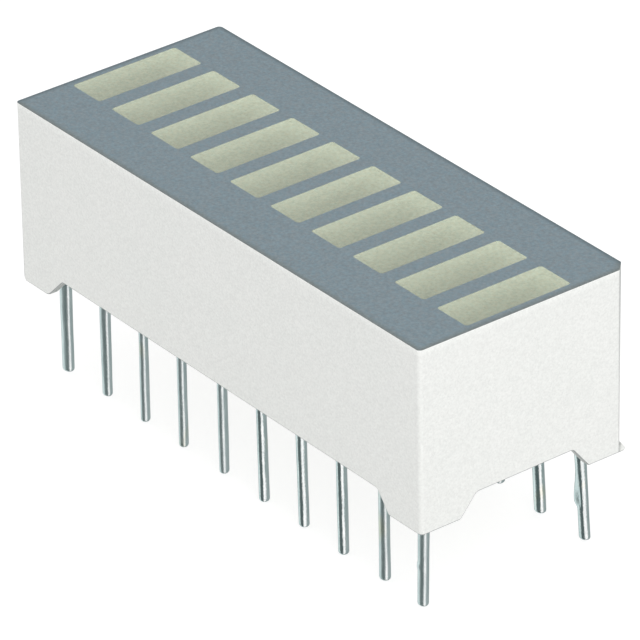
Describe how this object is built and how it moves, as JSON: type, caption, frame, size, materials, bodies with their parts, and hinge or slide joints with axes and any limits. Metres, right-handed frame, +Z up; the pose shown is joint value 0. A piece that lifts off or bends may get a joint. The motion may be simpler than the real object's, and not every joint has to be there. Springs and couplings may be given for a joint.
{
  "type": "led bar graph",
  "caption": "Rectangular light bar display with a row of flush windows in a grey face, a white moulded body on corner feet, and two rows of round solder leads.",
  "frame": {"origin": "centre of the grid of twenty leads, on the seating plane under the four corner feet", "axes": "+X along the display towards the cut corner and segment 1, +Y across it towards leads 1 to 10, +Z up out of the display face"},
  "size_m": [0.0252, 0.01, 0.0122],
  "materials": {
    "housing_plastic": "moulded, fine satin",
    "face_ink": "printed matt grey",
    "board_laminate": "glass epoxy laminate",
    "copper_foil": "bare foil, satin",
    "solder": "bright",
    "potting_resin": "cast, glossy, faintly tinted",
    "diffuser_resin": "cast, tinted and diffusing",
    "led_chip": "sawn semiconductor die",
    "gold_wire": "drawn, bright",
    "tinned_wire": "hot tinned, bright"
  },
  "bodies": {
    "root": {"housing": "housing_plastic", "face_ink": "face_ink", "circuit_board": "board_laminate", "copper_tracks": "copper_foil", "solder_joints": "solder", "potting": "potting_resin", "segment_01": "diffuser_resin", "segment_02": "diffuser_resin", "segment_03": "diffuser_resin", "segment_04": "diffuser_resin", "segment_05": "diffuser_resin", "segment_06": "diffuser_resin", "segment_07": "diffuser_resin", "segment_08": "diffuser_resin", "segment_09": "diffuser_resin", "segment_10": "diffuser_resin", "led_chip_01": "led_chip", "led_chip_02": "led_chip", "led_chip_03": "led_chip", "led_chip_04": "led_chip", "led_chip_05": "led_chip", "led_chip_06": "led_chip", "led_chip_07": "led_chip", "led_chip_08": "led_chip", "led_chip_09": "led_chip", "led_chip_10": "led_chip", "bond_wire_01": "gold_wire", "bond_wire_02": "gold_wire", "bond_wire_03": "gold_wire", "bond_wire_04": "gold_wire", "bond_wire_05": "gold_wire", "bond_wire_06": "gold_wire", "bond_wire_07": "gold_wire", "bond_wire_08": "gold_wire", "bond_wire_09": "gold_wire", "bond_wire_10": "gold_wire", "pin_01": "tinned_wire", "pin_02": "tinned_wire", "pin_03": "tinned_wire", "pin_04": "tinned_wire", "pin_05": "tinned_wire", "pin_06": "tinned_wire", "pin_07": "tinned_wire", "pin_08": "tinned_wire", "pin_09": "tinned_wire", "pin_10": "tinned_wire", "pin_11": "tinned_wire", "pin_12": "tinned_wire", "pin_13": "tinned_wire", "pin_14": "tinned_wire", "pin_15": "tinned_wire", "pin_16": "tinned_wire", "pin_17": "tinned_wire", "pin_18": "tinned_wire", "pin_19": "tinned_wire", "pin_20": "tinned_wire"}
  },
  "joints": []
}
